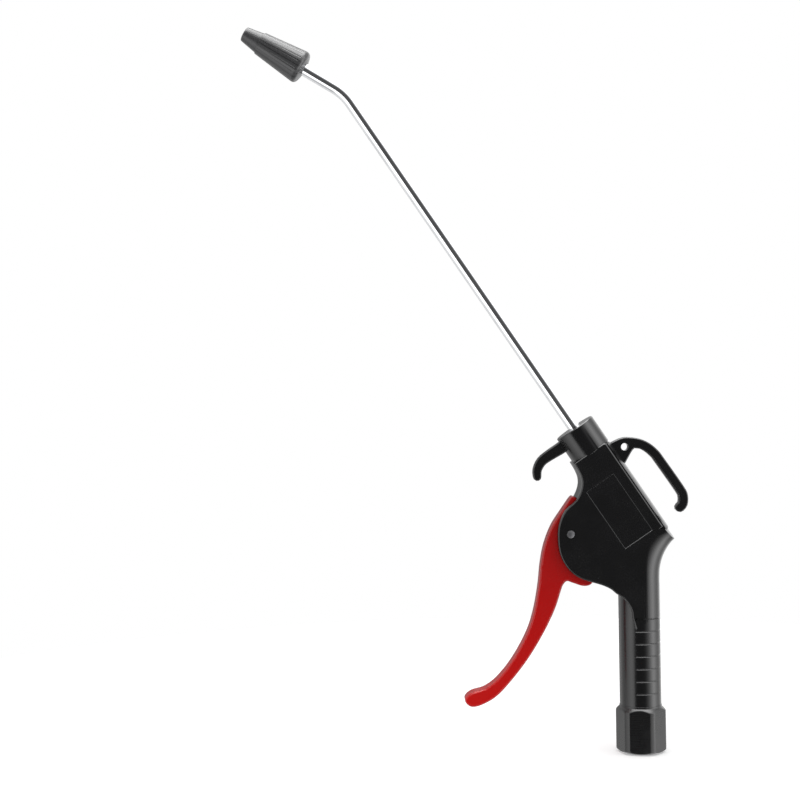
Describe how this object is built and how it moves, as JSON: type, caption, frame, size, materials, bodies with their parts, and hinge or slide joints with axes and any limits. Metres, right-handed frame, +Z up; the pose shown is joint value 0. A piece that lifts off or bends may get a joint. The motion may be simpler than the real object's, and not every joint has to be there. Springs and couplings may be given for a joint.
{
  "type": "air blow gun",
  "caption": "Pneumatic air duster with a round black pistol grip, a red squeeze lever, hanging and finger hooks, and a long chrome tube bent down to a fluted nozzle.",
  "frame": {"origin": "centre of the air inlet's mouth, on the bottom face of the hexagonal adapter", "axes": "+Z up the grip, away from the air inlet; +X to the back of the gun, where the hanging hook is; the tube leans to -X; the lever's pin lies along Y"},
  "size_m": [0.2132, 0.0236, 0.3533],
  "materials": {
    "housing_black": "satin moulded nylon",
    "adapter_black": "black coated, fine turned",
    "o_ring_rubber": "smooth",
    "brass": "turned",
    "steel": "turned",
    "lever_red": "glossy moulded nylon",
    "tube_chrome": "polished plating",
    "nozzle_black": "satin moulded nylon",
    "tip_black": "satin moulded nylon"
  },
  "bodies": {
    "gun": {"housing": "housing_black", "inlet_adapter": "adapter_black", "inlet_o_ring": "o_ring_rubber", "valve_sleeve": "brass", "sleeve_front_o_ring": "o_ring_rubber", "sleeve_rear_o_ring": "o_ring_rubber", "valve_nut": "brass", "stem_o_ring": "o_ring_rubber", "valve_spring": "steel", "pivot_pin": "steel", "tube_bush": "brass", "tube_o_ring": "o_ring_rubber", "tube": "tube_chrome", "nozzle": "nozzle_black", "nozzle_o_ring": "o_ring_rubber", "nozzle_tip": "tip_black"},
    "lever": {"lever": "lever_red"},
    "stem": {"valve_stem": "steel", "poppet_seal": "o_ring_rubber", "poppet_washer": "brass"}
  },
  "joints": [
    {"name": "lever_pivot", "type": "hinge", "parent": "gun", "child": "lever", "pos_m": [-0.0336, 0, 0.10607], "axis": [0, -1, 0], "range_deg": [0, 15], "stiffness_Nm_per_rad": 0.268, "springref_deg": -14.09},
    {"name": "stem_slide", "type": "slide", "parent": "gun", "child": "stem", "axis": [0.8329, 0, 0.5534], "range_m": [0, 0.0033], "deforming": ["valve_spring"]}
  ],
  "couplings": [
    {"joint": "stem_slide", "follows": "lever_pivot", "m_per_rad": 0.0122}
  ]
}
